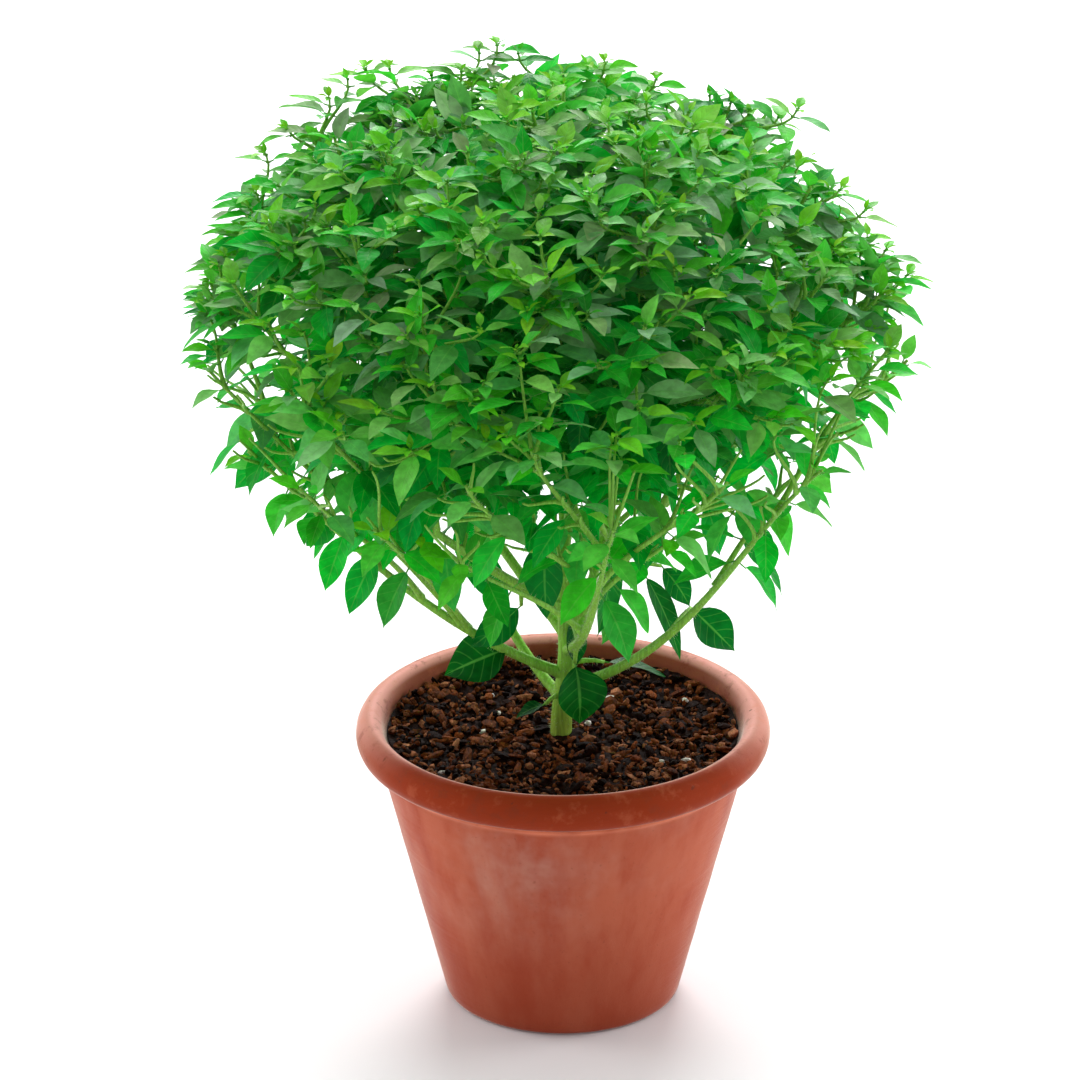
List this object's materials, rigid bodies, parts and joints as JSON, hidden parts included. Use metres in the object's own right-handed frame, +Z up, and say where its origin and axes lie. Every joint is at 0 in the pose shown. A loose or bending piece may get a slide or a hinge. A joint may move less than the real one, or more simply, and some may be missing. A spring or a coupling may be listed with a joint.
{
  "type": "potted basil plant",
  "caption": "Bushy small-leaved basil plant with a rounded crown, growing from potting mix in a tapered terracotta pot with a rolled rim.",
  "frame": {"origin": "centre of the pot's underside", "axes": "+Z up along the pot's axis, -Y towards the front that the picture shows"},
  "size_m": [0.2526, 0.2505, 0.3266],
  "materials": {
    "terracotta": "matte",
    "potting_mix": "matte",
    "stem": "satin",
    "leaf": "satin"
  },
  "bodies": {
    "root": {"pot": "terracotta", "potting_mix": "potting_mix", "main_stem": "stem", "leafy_stem_01": "leaf", "leafy_stem_02": "leaf", "leafy_stem_03": "leaf", "leafy_stem_04": "leaf", "leafy_stem_05": "leaf", "leafy_stem_06": "leaf", "leafy_stem_07": "leaf", "leafy_stem_08": "leaf", "leafy_stem_09": "leaf", "leafy_stem_10": "leaf", "leafy_stem_11": "leaf", "leafy_stem_12": "leaf"}
  },
  "joints": []
}
